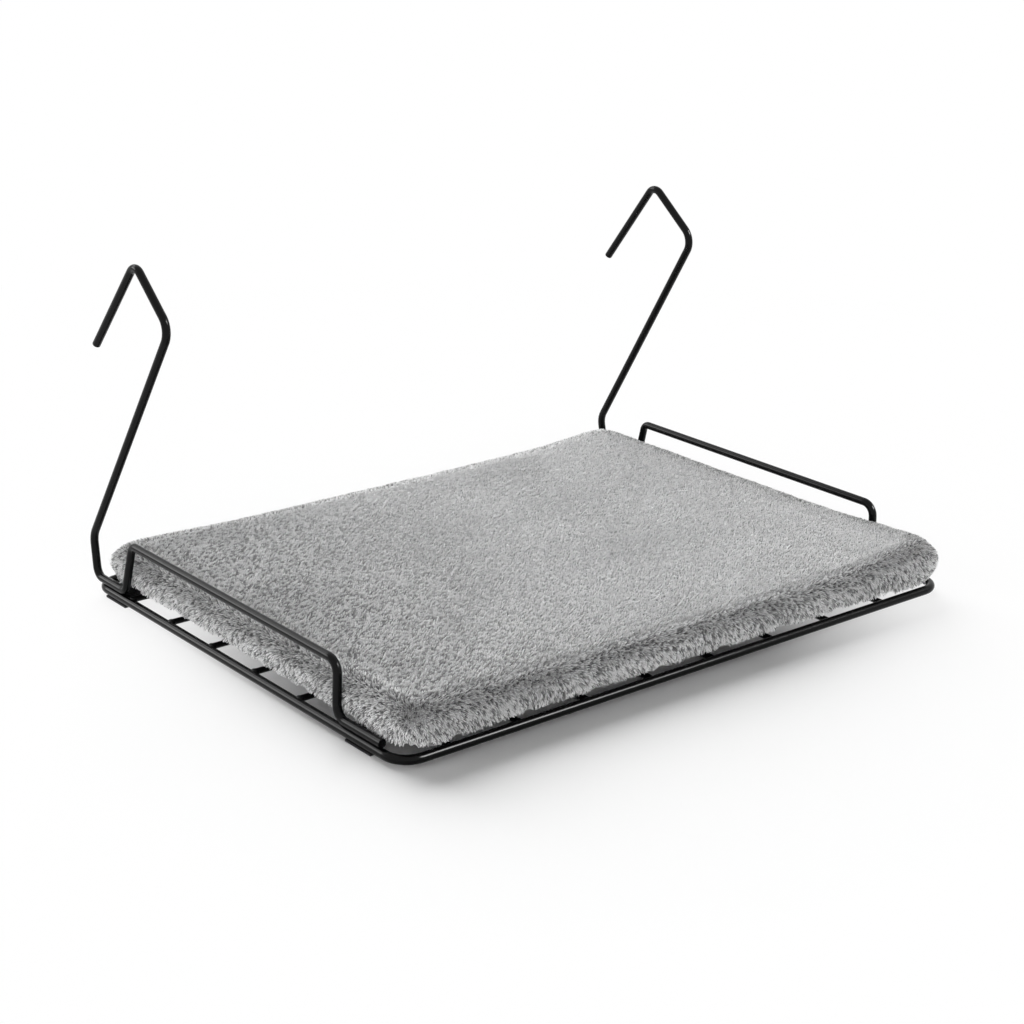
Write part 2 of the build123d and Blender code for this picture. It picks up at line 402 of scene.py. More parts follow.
CAMERA_PLACE = Vector((-0.8595, -1.0561, 0.5378))
CAMERA_AZIMUTH = radians(38.88)
CAMERA_ELEVATION = radians(19.47)
CAMERA_ROLL = radians(0.61)
CAMERA_LENS_MM = 76.15
SENSOR_MM = 36.0
FLOOR_HALF = 12.0
ROOM_LIGHT = 0.16
# The floor glows white for camera and gloss rays far away, which fades out its shadow between two distances
# from the middle of the bed
SHADOW_FADES = 0.55
SHADOW_GONE = 1.0
# Nearer the bed a painted glow lifts its shadow: below the bed's front the shadow is full within the first
# distance, and at its least beyond the second
SHADOW_CENTRE = (-0.08, -0.15, 0.0)
SHADOW_DEEP = 0.12
SHADOW_FAINT = 0.30
SHADOW_LEAST = 0.18


def camera_matrix():
    """The camera's axes from its heading, its tilt and a slight roll, at its place."""
    ahead = Vector((sin(CAMERA_AZIMUTH) * cos(CAMERA_ELEVATION),
                    cos(CAMERA_AZIMUTH) * cos(CAMERA_ELEVATION),
                    -sin(CAMERA_ELEVATION)))
    level = Vector((cos(CAMERA_AZIMUTH), -sin(CAMERA_AZIMUTH), 0))
    above = level.cross(ahead)
    right = level * cos(CAMERA_ROLL) + above * sin(CAMERA_ROLL)
    up = above * cos(CAMERA_ROLL) - level * sin(CAMERA_ROLL)
    turn = Matrix((right, up, -ahead)).transposed().to_4x4()
    return Matrix.Translation(CAMERA_PLACE) @ turn


def sun(name, azimuth, elevation, wide, strength, gloss):
    """A soft sun, seen in gloss alone or in all but gloss. Azimuth 0 is behind the bed, 90 at its right."""
    lamp = bpy.data.lights.new(name, "SUN")
    lamp.energy = strength
    lamp.angle = radians(wide)
    holder = bpy.data.objects.new(name, lamp)
    holder.visible_diffuse = not gloss
    holder.visible_glossy = gloss
    bpy.context.scene.collection.objects.link(holder)
    turn, rise = radians(azimuth), radians(elevation)
    towards = Vector((sin(turn) * cos(rise), cos(turn) * cos(rise), sin(rise)))
    holder.rotation_mode = "QUATERNION"
    holder.rotation_quaternion = towards.to_track_quat("Z", "Y")
    holder.location = towards * 3
    return holder


def background_seen(tree):
    """1 where a ray from the camera, off a gloss or through a clear piece meets the background."""
    ray = node(tree, "ShaderNodeLightPath")
    direct = node(tree, "ShaderNodeMath", {
        0: ray.outputs["Is Camera Ray"], 1: ray.outputs["Is Glossy Ray"]}, operation="MAXIMUM")
    seen = node(tree, "ShaderNodeMath", {
        0: direct.outputs["Value"], 1: ray.outputs["Is Transmission Ray"]}, operation="MAXIMUM")
    return seen.outputs["Value"]


def floor_finish():
    """A pale floor that glows white for camera, gloss and transmission rays: its shadow is full below the
    bed's front, fainter round it where a painted glow lifts it, and gone further away.
    """
    material = bpy.data.materials.new("pale_floor_with_painted_glow")
    material.use_nodes = True
    tree = material.node_tree
    tree.nodes.remove(tree.nodes["Principled BSDF"])
    place = node(tree, "ShaderNodeTexCoord")
    distance = node(tree, "ShaderNodeVectorMath", {0: place.outputs["Object"]}, operation="LENGTH")
    far = node(tree, "ShaderNodeMapRange", {
        "Value": distance.outputs["Value"], "From Min": SHADOW_FADES, "From Max": SHADOW_GONE},
        interpolation_type="SMOOTHSTEP")
    beside = node(tree, "ShaderNodeVectorMath", {
        0: place.outputs["Object"], 1: SHADOW_CENTRE}, operation="DISTANCE")
    # Painted glow that lifts the shadow round the bed, with none within the deep distance of the shadow's
    # centre
    faint = node(tree, "ShaderNodeMapRange", {
        "Value": beside.outputs["Value"], "From Min": SHADOW_DEEP, "From Max": SHADOW_FAINT,
        "To Max": 1 - SHADOW_LEAST}, interpolation_type="SMOOTHSTEP")
    # The floor glows where it is far away, and where the painted glow lifts its shadow
    clear = node(tree, "ShaderNodeMath", {
        0: far.outputs["Result"], 1: faint.outputs["Result"]}, operation="MAXIMUM")
    share = node(tree, "ShaderNodeMath", {
        0: clear.outputs["Value"], 1: background_seen(tree)}, operation="MULTIPLY")
    matt = node(tree, "ShaderNodeBsdfDiffuse", {"Color": rgba(colours().floor)})
    glow = node(tree, "ShaderNodeEmission", {"Color": (1, 1, 1, 1), "Strength": 1.0})
    mixed = node(tree, "ShaderNodeMixShader", {
        0: share.outputs["Value"], 1: matt.outputs["BSDF"], 2: glow.outputs["Emission"]})
    tree.links.new(mixed.outputs["Shader"], tree.nodes["Material Output"].inputs["Surface"])
    return material


class CATBED_OT_stage(bpy.types.Operator):
    """Adds the floor, the soft light and the camera"""

    bl_idname = "catbed.stage"
    bl_label = "Stage"

    def execute(self, context):
        context.scene.view_settings.view_transform = "Standard"
        deselect_all()
        bpy.ops.mesh.primitive_plane_add(size=2 * FLOOR_HALF, location=(0, 0, 0))
        floor = context.object
        floor.name = "floor"
        floor.data.materials.append(floor_finish())

        world = bpy.data.worlds.new("soft_room")
        context.scene.world = world
        world.use_nodes = True
        tree = world.node_tree
        background = tree.nodes["Background"]
        background.inputs["Color"].default_value = (1, 1, 1, 1)
        strength = node(tree, "ShaderNodeMapRange", {
            "Value": background_seen(tree), "To Min": ROOM_LIGHT, "To Max": 1.0})
        tree.links.new(strength.outputs["Result"], background.inputs["Strength"])
        sun("key_from_behind", azimuth=14, elevation=30, wide=50, strength=4.3, gloss=False)
        sun("fill_from_the_front", azimuth=200, elevation=12, wide=40, strength=1.3, gloss=False)
        sun("fill_from_the_left", azimuth=285, elevation=14, wide=40, strength=0.9, gloss=False)
        sun("highlight_from_the_right", azimuth=143, elevation=38, wide=24, strength=4.8, gloss=True)
        sun("highlight_from_behind", azimuth=350, elevation=38, wide=24, strength=0.4, gloss=True)
        sun("highlight_from_the_left", azimuth=325, elevation=20, wide=24, strength=0.8, gloss=True)

        camera = bpy.data.cameras.new("camera")
        camera.lens = CAMERA_LENS_MM
        camera.sensor_width = SENSOR_MM
        camera.sensor_fit = "HORIZONTAL"
        camera.clip_start = 0.05
        camera.clip_end = 100
        holder = bpy.data.objects.new("camera", camera)
        context.scene.collection.objects.link(holder)
        holder.matrix_world = camera_matrix()
        context.scene.camera = holder
        return {"FINISHED"}


# The frame's finishes

class CATBED_OT_rods(bpy.types.Operator):
    """Gives the rail and the two side wires their glossy black powder coat"""

    bl_idname = "catbed.rods"
    bl_label = "Rail and side wires"

    def execute(self, context):
        coat = coated_metal("glossy_black_powder_coat", colours().powder_coat,
                            roughness=0.15, peel_size=0.9 * MM, peel_height=0.008 * MM)
        finish_nodes(ROUND_RODS, coat)
        return {"FINISHED"}


class CATBED_OT_grid(bpy.types.Operator):
    """Gives the grid wires their black powder coat"""

    bl_idname = "catbed.grid"
    bl_label = "Grid wires"

    def execute(self, context):
        coat = coated_metal("black_grid_powder_coat", colours().powder_coat,
                            roughness=0.34, peel_size=0.8 * MM, peel_height=0.02 * MM)
        finish_nodes(CROSS_WIRES + DEPTH_WIRES, coat)
        return {"FINISHED"}


class CATBED_OT_clamps(bpy.types.Operator):
    """Gives the clamp strips and the foot tabs their satin black coat"""

    bl_idname = "catbed.clamps"
    bl_label = "Clamps and tabs"

    def execute(self, context):
        coat = coated_metal("satin_black_strip_coat", colours().strip_coat,
                            roughness=0.4, peel_size=0.7 * MM, peel_height=0.03 * MM)
        finish_nodes([f"{corner}_clamp" for corner in CORNERS], coat)
        finish_nodes([f"{corner}_foot_tab" for corner in CORNERS], coat)
        return {"FINISHED"}


class CATBED_OT_fasteners(bpy.types.Operator):
    """Gives the screws and nuts their black zinc plate"""

    bl_idname = "catbed.fasteners"
    bl_label = "Screws and nuts"

    def execute(self, context):
        plate = black_zinc()
        finish_nodes([f"{corner}_screw" for corner in CORNERS], plate)
        finish_nodes([f"{corner}_nut" for corner in CORNERS], plate)
        return {"FINISHED"}


def weld_bead(radius, stretch):
    """One bead: a lump drawn out along X and pressed flat, with an uneven skin."""
    deselect_all()
    bpy.ops.mesh.primitive_uv_sphere_add(segments=12, ring_count=6, radius=radius, location=(0, 0, 0))
    bead = bpy.context.object
    edit_all()
    bpy.ops.transform.resize(value=(stretch, 1, 0.75), center_override=(0, 0, 0))
    stop_editing()
    points = points_of(bead.data)
    rough = soft_noise(points, radius, 3.7)
    set_points(bead.data, points * (1 + 0.12 * rough[:, None]))
    bpy.ops.object.shade_smooth()
    return bead


def turned_to(place, degrees):
    return Matrix.Translation(place) @ Matrix.Rotation(radians(degrees), 4, "Z")


class CATBED_OT_welds(bpy.types.Operator):
    """Adds the weld beads where the grid wires meet the rail and each other"""

    bl_idname = "catbed.welds"
    bl_label = "Weld beads"

    def execute(self, context):
        radius = sizes().weld_radius
        coat = coated_metal("black_weld_coat", colours().powder_coat,
                            roughness=0.36, peel_size=0.8 * MM, peel_height=0.03 * MM)
        ends = []
        for name in CROSS_WIRES:
            low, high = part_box(name)
            middle = (low + high) / 2
            ends += [turned_to((x, middle.y, middle.z), 90) for x in (low.x, high.x)]
        for name in DEPTH_WIRES:
            low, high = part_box(name)
            middle = (low + high) / 2
            ends += [turned_to((middle.x, y, middle.z), 0) for y in (low.y, high.y)]
        beads = joined_copies("rail_weld_beads", weld_bead(radius, 1.25), ends)

        crossings = []
        for across in CROSS_WIRES:
            for along in DEPTH_WIRES:
                low_a, high_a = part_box(across)
                low_b, high_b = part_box(along)
                place = ((low_b.x + high_b.x) / 2, (low_a.y + high_a.y) / 2, (low_a.z + high_b.z) / 2)
                crossings.append(turned_to(place, 45))
        spots = joined_copies("grid_spot_welds", weld_bead(0.6 * radius, 1.2), crossings)
        for piece in (beads, spots):
            piece.data.materials.append(coat)
            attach(piece, "frame")
        return {"FINISHED"}


# The cushion

SWELL_FRAMES = 20
# Room that the skin leaves in the cover's box for the pile
SIDE_ROOM = 0.8 * MM
TOP_ROOM = 2.2 * MM
BASE_ROOM = 0.2 * MM
# The plan outline is rounded round a core that lies this far inside the box
CORE_INSET = 24 * MM
# How far inside the outline the filled-out edge and the roll along it start to fall off, and end
FULL_EDGE = (9 * MM, 22 * MM)
ROLL = (9 * MM, 34 * MM)


def swell(piece):
    """Inflates a remeshed cushion with Blender's cloth, and caps how far each point moves."""
    start = points_of(piece.data)
    cloth = piece.modifiers.new("swell", "CLOTH")
    settings = cloth.settings
    settings.quality = 5
    settings.mass = 0.3
    settings.use_pressure = True
    settings.uniform_pressure_force = 4.0
    settings.tension_stiffness = 12
    settings.compression_stiffness = 12
    settings.bending_stiffness = 0.6
    settings.effector_weights.gravity = 0.0
    cloth.collision_settings.use_collision = False
    cloth.point_cache.frame_start = 1
    cloth.point_cache.frame_end = SWELL_FRAMES
    scene = bpy.context.scene
    for number in range(1, SWELL_FRAMES + 1):
        scene.frame_set(number)
    activate(piece)
    bpy.ops.object.modifier_apply(modifier=cloth.name)
    scene.frame_set(1)
    moved = points_of(piece.data) - start
    length = np.linalg.norm(moved, axis=1, keepdims=True)
    capped = moved * np.minimum(1, sizes().swell_cap / np.maximum(length, 1e-9))
    set_points(piece.data, start + capped)


def outline_of(points):
    """For each point of the cushion, its distance inside the plan outline and the way out."""
    low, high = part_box("cushion_fleece_cover")
    core_low = np.array((low.x + CORE_INSET, low.y + CORE_INSET))
    core_high = np.array((high.x - CORE_INSET, high.y - CORE_INSET))
    plan = points[:, :2]
    beyond = plan - np.clip(plan, core_low, core_high)
    reach = np.linalg.norm(beyond, axis=1)
    way_out = np.zeros((len(points), 3))
    way_out[:, :2] = beyond / np.maximum(reach, 1e-9)[:, None]
    return CORE_INSET - reach, way_out


def shape_cushion(piece):
    """Keeps the underside flat on the grid, fills out the edge and raises its roll and its corners."""
    points = points_of(piece.data)
    low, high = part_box("cushion_fleece_cover")
    middle = (low + high) / 2
    half = (high - low) / 2
    # The simulated skin is scaled to the cover's own box, less the room for its pile
    now_low, now_high = points.min(axis=0), points.max(axis=0)
    want_low = np.array((low.x + SIDE_ROOM, low.y + SIDE_ROOM, low.z + BASE_ROOM))
    want_high = np.array((high.x - SIDE_ROOM, high.y - SIDE_ROOM, high.z - TOP_ROOM))
    points = want_low + (points - now_low) / (now_high - now_low) * (want_high - want_low)

    # The edge is filled out towards the outline, and most of all low down
    inside, way_out = outline_of(points)
    lower = 1 - smooth_step(points[:, 2], low.z + 5 * MM, low.z + 13 * MM)
    fullness = 0.3 + 0.3 * lower
    fuller = fullness * np.maximum(inside, 0) * (1 - smooth_step(inside, *FULL_EDGE))
    points += way_out * fuller[:, None]

    # The corners stand up, and so does a roll along the edge, highest where the right guard presses on it
    across = (points[:, 0] - middle.x) / half.x
    along = (points[:, 1] - middle.y) / half.y
    corner = smooth_step(np.abs(across), 0.62, 1.0) * smooth_step(np.abs(along), 0.5, 1.0)
    inside = outline_of(points)[0]
    roll = 1 - smooth_step(inside, *ROLL)
    pressed = smooth_step(across, 0.6, 0.95) * (1 - 0.65 * smooth_step(along, 0.45, 0.95))
    rolled = sizes().edge_roll + sizes().right_roll * pressed
    height = smooth_step(points[:, 2], low.z + 4 * MM, high.z - 5 * MM)
    points[:, 2] += (sizes().corner_rise * corner + rolled * roll) * height
    set_points(piece.data, points)


# Painted shade darkens a whorl at the front left corner, where the pile parts, and dims the pile's top
# against its sides
WHORL_PLACE = (-0.216, -0.174, 0.014)
WHORL_SIZE = 0.009
TOP_PAINTED_SHADE = 0.08
# The way the lying pile leans, as an angle from the right towards the rear
PILE_HEADING = 0.3
# How far inside the outline the rim ends, and the side pile gives way to the lying pile
RIM = (6 * MM, 20 * MM)
MIX_FROM = 8 * MM
MIX_TO = 17 * MM
# How far from the middle of a grid wire the pile is cut short, and hangs free again
WIRE_CLEARANCE = (3 * MM, 5 * MM)
# How far from its middle a pit between the locks starts to rise, and ends: shares of the lock pitch
PIT_EDGE = 0.28
LOCK_EDGE = 0.58


def above_wires(points):
    """1 above a wire of the grid, and 0 where the pile can hang down between the wires."""
    near = np.zeros(len(points))
    for names, axis in ((CROSS_WIRES, 1), (DEPTH_WIRES, 0)):
        for name in names:
            low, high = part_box(name)
            gap = np.abs(points[:, axis] - (low[axis] + high[axis]) / 2)
            near = np.maximum(near, 1 - smooth_step(gap, *WIRE_CLEARANCE))
    return near


def lay_the_pile(cover):
    """Stores on the cover which way each tuft starts and falls, how long it is, and its painted light and
    shade.
    """
    mesh = cover.data
    points = points_of(mesh)
    normals = normals_of(mesh)
    inside, way_out = outline_of(points)
    low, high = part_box("cushion_fleece_cover")

    # Shares from 0 to 1: the rim, the sides, and the lying surface from its left edge to its middle
    rim = 1 - smooth_step(inside, *RIM)
    side = smooth_step(1 - normals[:, 2], 0.25, 0.85)
    rightward = smooth_step(points[:, 0] - 0.1 * points[:, 1], -0.22, 0.02)

    # On the lying surface the pile leans to the right, and most of all on the right part
    patches = soft_noise(points * np.array((1, 1.7, 1)), 70 * MM, 11.3)
    brushed = 1.2 + 0.6 * rightward + 0.05 * patches
    heading = PILE_HEADING + 0.15 * soft_noise(points, 60 * MM, 21.9)
    lean = np.stack([np.cos(heading), np.sin(heading), np.zeros(len(points))], axis=1)

    # On the sides it stands out and falls a little, and swings to and fro along the edge
    edge_way = np.stack([-way_out[:, 1], way_out[:, 0], np.zeros(len(points))], axis=1)
    swing = 0.6 * soft_noise(points, 34 * MM, 31.7) + 0.3 * soft_noise(points, 12 * MM, 41.3)
    down = np.array((0, 0, -1.0))
    fall = way_out * 0.6 + down * 0.8 + edge_way * swing[:, None]
    over_the_rim = way_out * 0.9 + edge_way * swing[:, None]

    root_top = normals + lean * brushed[:, None]
    root_side = normals + way_out * 0.1 + down * 0.15 + edge_way * (0.45 * swing)[:, None]
    root_side = root_side * np.where(normals[:, 2:] < 0, (1, 1, 0.6), (1, 1, 1))
    tip_side = fall * side[:, None] + over_the_rim * (1 - side)[:, None]
    edge = np.maximum(rim, side)
    root = unit_vectors(root_top * (1 - edge)[:, None] + root_side * edge[:, None])
    tip = unit_vectors(lean * (1 - edge)[:, None] + tip_side * edge[:, None])

    # Length runs from the lying pile to the pile of the sides, which hangs down between the grid wires
    locks = soft_noise(points, 7 * MM, 51.1)
    length = sizes().top_length * (1 - edge) + sizes().side_length * edge
    length = length * (1 + 0.12 * locks)
    hanging = (1 - smooth_step(points[:, 2], low.z + 2 * MM, low.z + 9 * MM)) * side
    length = length * (1 + hanging * (0.45 - 1.0 * above_wires(points)))

    # Painted light and shade: a painted shadow where the pile parts over the rim, painted light towards the
    # right, in soft patches and on the sides, varying with the locks and most on the left side, and a painted
    # highlight along the roll
    rim_painted_shade = np.exp(-((inside - 5 * MM) / (4 * MM)) ** 2) * (1 - side)
    roll_painted_highlight = np.exp(-((inside - 19 * MM) / (6 * MM)) ** 2) * (1 - side)
    leftward = np.maximum(-way_out[:, 0], 0) * side
    shade = 1.09 + 0.17 * rightward + 0.035 * patches - 0.04 * rim_painted_shade
    shade = shade * (1 - TOP_PAINTED_SHADE * (1 - side)) + (0.14 + 0.08 * locks) * side + 0.12 * leftward
    # Painted shade darkens the whorl
    reach = np.linalg.norm(points - np.array(WHORL_PLACE), axis=1) / WHORL_SIZE
    whorl = np.exp(-reach ** 2)
    shade = shade - 0.12 * whorl

    # Painted shade in the pits between the locks: darkest at the rim and the whorl, lighter under the painted
    # highlight along the roll, and faint on the smooth right part
    pit = 0.22 + 0.5 * rightward * (1 - edge) - 0.05 * rim_painted_shade + 0.2 * roll_painted_highlight - 0.15 * whorl
    grows = (normals[:, 2] > -0.75).astype(float)
    on_top = smooth_step(inside, MIX_FROM, MIX_TO) * (normals[:, 2] > 0.2)

    for name, values in (("pile_root", root), ("pile_tip", tip)):
        layer = mesh.attributes.new(name, "FLOAT_VECTOR", "POINT")
        layer.data.foreach_set("vector", values.ravel())
    numbers = {"pile_length": length, "pile_shade": shade, "pile_pit": pit,
               "pile_on_top": grows * on_top, "pile_on_side": grows * (1 - on_top)}
    for name, values in numbers.items():
        layer = mesh.attributes.new(name, "FLOAT", "POINT")
        layer.data.foreach_set("value", values)


def model_tuft(name, width, length, bend, material):
    """One tuft: a blunt three-sided strand. Each step of its bend has a lean in degrees and a taper."""
    deselect_all()
    bpy.ops.mesh.primitive_circle_add(vertices=3, radius=width / 2, fill_type="NGON", location=(0, 0, 0))
    tuft = bpy.context.object
    tuft.name = name
    edit_all()
    place = Vector((0, 0, 0))
    for lean, taper in bend:
        angle = radians(lean)
        step = Vector((sin(angle), 0, cos(angle))) * length / len(bend)
        place = place + step
        bpy.ops.mesh.extrude_region_move(TRANSFORM_OT_translate={"value": step})
        bpy.ops.transform.resize(value=(taper, taper, 1), center_override=place)
    bpy.ops.mesh.select_all(action="SELECT")
    bpy.ops.mesh.normals_make_consistent(inside=False)
    stop_editing()
    bpy.ops.object.shade_smooth()
    heights = points_of(tuft.data)[:, 2]
    layer = tuft.data.attributes.new("along", "FLOAT", "POINT")
    layer.data.foreach_set("value", np.clip(heights / heights.max(), 0, 1))
    tuft.data.materials.append(material)
    return tuft


def named(tree, name, kind):
    return node(tree, "GeometryNodeInputNamedAttribute", {"Name": name}, data_type=kind).outputs["Attribute"]


def random_number(tree, low, high, seed):
    made = node(tree, "FunctionNodeRandomValue", {2: low, 3: high, "Seed": seed}, data_type="FLOAT")
    return made.outputs[1]


def random_vector(tree, size, seed):
    made = node(tree, "FunctionNodeRandomValue", {0: (-size,) * 3, 1: (size,) * 3, "Seed": seed},
                data_type="FLOAT_VECTOR")
    return made.outputs[0]


def added(tree, first, second):
    return node(tree, "ShaderNodeVectorMath", {0: first, 1: second}, operation="ADD").outputs["Vector"]


def times(tree, first, second):
    return node(tree, "ShaderNodeMath", {0: first, 1: second}, operation="MULTIPLY").outputs["Value"]


def eased(tree, value, low, high, first, last):
    made = node(tree, "ShaderNodeMapRange", {
        "Value": value, "From Min": low, "From Max": high, "To Min": first, "To Max": last})
    return made.outputs["Result"]


def swayed(tree, lock_size, reach):
    """A push that tufts close to each other share, so that they gather in locks."""
    place = node(tree, "GeometryNodeInputPosition")
    pattern = node(tree, "ShaderNodeTexNoise", {
        "Vector": place.outputs["Position"], "Scale": 1 / lock_size, "Detail": 1.0})
    middle = node(tree, "ShaderNodeVectorMath", {
        0: pattern.outputs["Color"], 1: (0.5, 0.5, 0.5)}, operation="SUBTRACT")
    return node(tree, "ShaderNodeVectorMath", {
        0: middle.outputs["Vector"], "Scale": reach}, operation="SCALE").outputs["Vector"]


def lock_relief(tree, stretch):
    """0 in the middle of a pit between the locks, 1 on the locks themselves."""
    pitch = sizes().lock_pitch
    place = node(tree, "GeometryNodeInputPosition")
    turned = node(tree, "ShaderNodeVectorRotate", {
        "Vector": place.outputs["Position"], "Angle": -PILE_HEADING}, rotation_type="Z_AXIS")
    spread = node(tree, "ShaderNodeVectorMath", {
        0: turned.outputs["Vector"], 1: [1 / (pitch * part) for part in stretch]}, operation="MULTIPLY")
    cells = node(tree, "ShaderNodeTexVoronoi", {"Vector": spread.outputs["Vector"], "Scale": 1.0})
    relief = node(tree, "ShaderNodeMapRange", {
        "Value": cells.outputs["Distance"], "From Min": PIT_EDGE, "From Max": LOCK_EDGE},
        interpolation_type="SMOOTHSTEP")
    return relief.outputs["Result"]


def pile_nodes(name, tuft, kind, seed):
    """Geometry nodes that set tufts on a patch of the cover and leave out the patch itself."""
    tree = bpy.data.node_groups.new(name, "GeometryNodeTree")
    tree.interface.new_socket("Geometry", in_out="INPUT", socket_type="NodeSocketGeometry")
    tree.interface.new_socket("Geometry", in_out="OUTPUT", socket_type="NodeSocketGeometry")
    patch = node(tree, "NodeGroupInput")
    spots = node(tree, "GeometryNodeDistributePointsOnFaces", {
        "Mesh": patch.outputs[0], "Distance Min": kind["spacing"], "Density Max": 1.6 / kind["spacing"] ** 2,
        "Density Factor": named(tree, kind["where"], "FLOAT"), "Seed": seed},
        distribute_method="POISSON")
    sway = swayed(tree, kind["lock"], kind["sway"])
    root = added(tree, named(tree, "pile_root", "FLOAT_VECTOR"), random_vector(tree, kind["stray"], seed + 1))
    tip = added(tree, named(tree, "pile_tip", "FLOAT_VECTOR"),
                random_vector(tree, 2 * kind["stray"], seed + 2))
    upright = node(tree, "FunctionNodeAlignRotationToVector", {"Vector": added(tree, root, sway)}, axis="Z")
    turned = node(tree, "FunctionNodeAlignRotationToVector", {
        "Rotation": upright.outputs[0], "Vector": added(tree, tip, sway)}, axis="X", pivot_axis="Z")

    # Between the locks the tufts are shorter, which leaves a pit, and painted shade darkens them there
    raised = lock_relief(tree, kind["stretch"])
    share = random_number(tree, 0.9 / kind["length"], 1.1 / kind["length"], seed + 3)
    length = times(tree, named(tree, "pile_length", "FLOAT"), share)
    scale = times(tree, length, eased(tree, raised, 0.0, 1.0, kind["pit_length"], 1.0))
    holder = node(tree, "GeometryNodeObjectInfo", {"Object": tuft, "As Instance": True})
    tufts = node(tree, "GeometryNodeInstanceOnPoints", {
        "Points": spots.outputs["Points"], "Instance": holder.outputs["Geometry"],
        "Rotation": turned.outputs[0], "Scale": scale})
    # Painted shade darkens the tufts in a pit
    pit_painted_shade = eased(tree, raised, 0.0, 1.0, named(tree, "pile_pit", "FLOAT"), 1.0)
    tint = times(tree, random_number(tree, *kind["tint"], seed + 5), pit_painted_shade)
    shade = times(tree, named(tree, "pile_shade", "FLOAT"), tint)
    stored = node(tree, "GeometryNodeStoreNamedAttribute", {
        "Geometry": tufts.outputs["Instances"], "Name": "shade", "Value": shade},
        data_type="FLOAT", domain="INSTANCE")
    real = node(tree, "GeometryNodeRealizeInstances", {"Geometry": stored.outputs["Geometry"]})
    result = node(tree, "NodeGroupOutput")
    tree.links.new(real.outputs["Geometry"], result.inputs[0])
    return tree


def patch_of(cover, name, keep):
    """A copy of the cover with only the faces that are kept."""
    patch = bpy.data.objects.new(name, cover.data.copy())
    bpy.context.scene.collection.objects.link(patch)
    activate(patch)
    bpy.ops.object.mode_set(mode="EDIT")
    bpy.context.tool_settings.mesh_select_mode = (False, False, True)
    bpy.ops.mesh.select_all(action="DESELECT")
    stop_editing()
    patch.data.polygons.foreach_set("select", ~keep)
    bpy.ops.object.mode_set(mode="EDIT")
    bpy.ops.mesh.delete(type="FACE")
    stop_editing()
    return patch


def face_middles(mesh):
    found = np.empty(len(mesh.polygons) * 3)
    mesh.polygons.foreach_get("center", found)
    return found.reshape(-1, 3)


class CATBED_OT_cover(bpy.types.Operator):
    """Makes the fleece cover: a crowned closed form, remeshed and swollen by cloth simulation"""

    bl_idname = "catbed.cover"
    bl_label = "Fleece cover"

    def execute(self, context):
        cover = copy_of_node("fleece_cover", "cushion_foam_core")
        remesh = cover.modifiers.new("even_mesh", "REMESH")
        remesh.mode = "VOXEL"
        remesh.voxel_size = sizes().cloth_voxel
        apply_modifiers(cover)
        swell(cover)
        shape_cushion(cover)
        finer = cover.modifiers.new("finer", "SUBSURF")
        finer.levels = 1
        finer.render_levels = 1
        apply_modifiers(cover)
        bpy.ops.object.shade_smooth()
        lay_the_pile(cover)
        cover.data.materials.append(fleece_backing())
        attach(cover, "cushion")
        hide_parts("cushion_fleece_cover")
        return {"FINISHED"}


class CATBED_OT_pile(bpy.types.Operator):
    """Sets the plush pile on the cover, tuft by tuft"""

    bl_idname = "catbed.pile"
    bl_label = "Fleece pile"

    def execute(self, context):
        cover = context.scene.objects["fleece_cover"]
        material = fleece_pile()
        short_length = sizes().top_length
        long_length = sizes().side_length
        short = model_tuft("short_tuft", sizes().top_width, short_length, ((10, 0.8),), material)
        long = model_tuft("long_tuft", sizes().side_width, long_length, ((0, 0.95), (28, 0.65)), material)
        lying = {"where": "pile_on_top", "length": short_length, "spacing": sizes().top_spacing,
                 "stray": 0.06, "lock": 4 * MM, "sway": 0.3,
                 "stretch": (1.35, 1.0, 1.0), "pit_length": 0.93, "tint": (0.93, 1.05)}
        standing = {"where": "pile_on_side", "length": long_length, "spacing": sizes().side_spacing,
                    "stray": 0.12, "lock": 4 * MM, "sway": 0.45,
                    "stretch": (0.75, 0.75, 1.2), "pit_length": 0.93, "tint": (0.86, 1.05)}
        middles = face_middles(cover.data)
        inside, way_out = outline_of(middles)
        low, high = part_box("cushion_fleece_cover")
        upper = middles[:, 2] > (low.z + high.z) / 2
        on_top = (inside > MIX_FROM - MM) & upper
        on_side = inside < np.where(upper, MIX_TO + MM, 12 * MM)
        patches = []
        strips = 5
        for number in range(strips):
            left = low.x + (high.x - low.x) * number / strips
            right = low.x + (high.x - low.x) * (number + 1) / strips
            keep = on_top & (middles[:, 0] >= left) & (middles[:, 0] < right)
            patches.append((f"top_pile_{number + 1}", keep, short, lying))
        ways = {"front": (0, -1), "right": (1, 0), "rear": (0, 1), "left": (-1, 0)}
        facing = np.stack([way_out[:, 0] * x + way_out[:, 1] * y for x, y in ways.values()], axis=1)
        nearest = facing.argmax(axis=1)
        for number, (name, (x, y)) in enumerate(ways.items()):
            place_along = middles[:, 0] * abs(y) + middles[:, 1] * abs(x)
            for half, keep_half in (("low", place_along < 0), ("high", place_along >= 0)):
                keep = on_side & (nearest == number) & keep_half
                patches.append((f"{name}_pile_{half}", keep, long, standing))
        for number, (name, keep, tuft, kind) in enumerate(patches):
            pile = patch_of(cover, name, keep)
            grow = pile.modifiers.new("grow", "NODES")
            grow.node_group = pile_nodes(name, tuft, kind, 10 * number)
            apply_modifiers(pile)
            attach(pile, "cushion")
        for tuft in (short, long):
            bpy.data.objects.remove(tuft)
        return {"FINISHED"}


FOAM_VOXEL = 6 * MM
# The foam's share of the CAD core's width, depth and height, which leaves it clear of the cover
FOAM_SHARE = (0.985, 0.98, 0.86)


